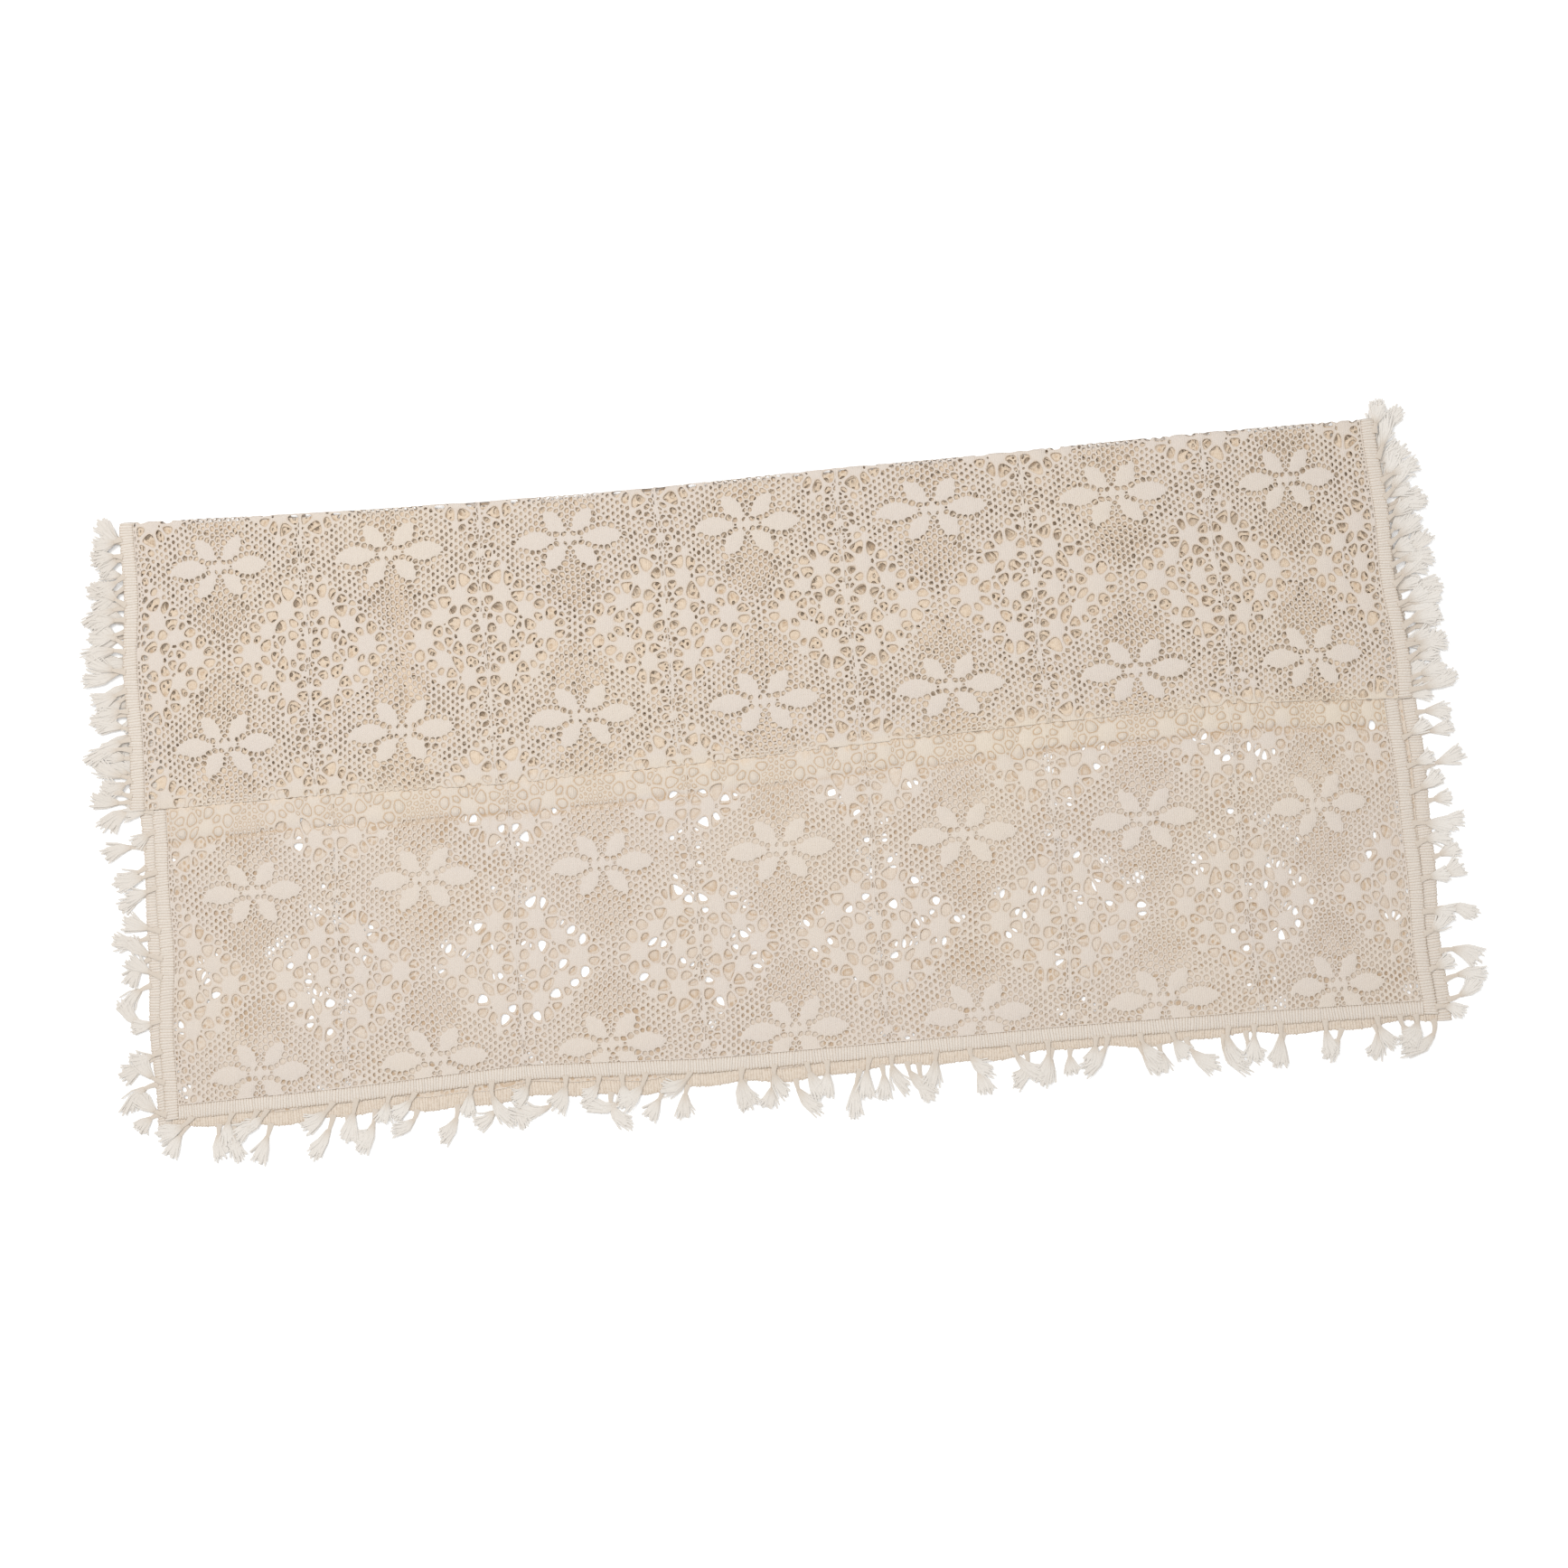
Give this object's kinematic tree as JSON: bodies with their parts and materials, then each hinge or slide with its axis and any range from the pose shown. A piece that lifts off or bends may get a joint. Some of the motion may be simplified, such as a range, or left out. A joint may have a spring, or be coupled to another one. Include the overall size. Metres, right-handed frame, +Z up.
{
  "type": "folded openwork tablecloth",
  "caption": "Cream cotton openwork tablecloth of sewn lace strips with a ribbed braid and tassel fringe, folded into a flat packet.",
  "frame": {"origin": "middle of the flat underside, on the surface that the cloth lies on", "axes": "+X along the folds, +Y towards the top fold and away from the hems, +Z up from the surface"},
  "size_m": [0.9843, 0.4697, 0.0081],
  "materials": {
    "lace": "matt cream cotton lace with small holes and fine vertical threads",
    "braid": "matt off-white cotton gimp braid with cross ribs",
    "tassel": "soft off-white cotton tassels of loose threads"
  },
  "bodies": {
    "root": {"lace_strip_1": "lace", "lace_strip_2": "lace", "lace_strip_3": "lace", "lace_strip_4": "lace", "lace_strip_5": "lace", "lace_strip_6": "lace", "lace_strip_7": "lace", "braid_left": "braid", "braid_right": "braid", "braid_back_hem": "braid", "braid_front_hem": "braid", "fringe_left": "tassel", "fringe_right": "tassel", "fringe_back_hem": "tassel", "fringe_front_hem": "tassel"}
  },
  "joints": []
}
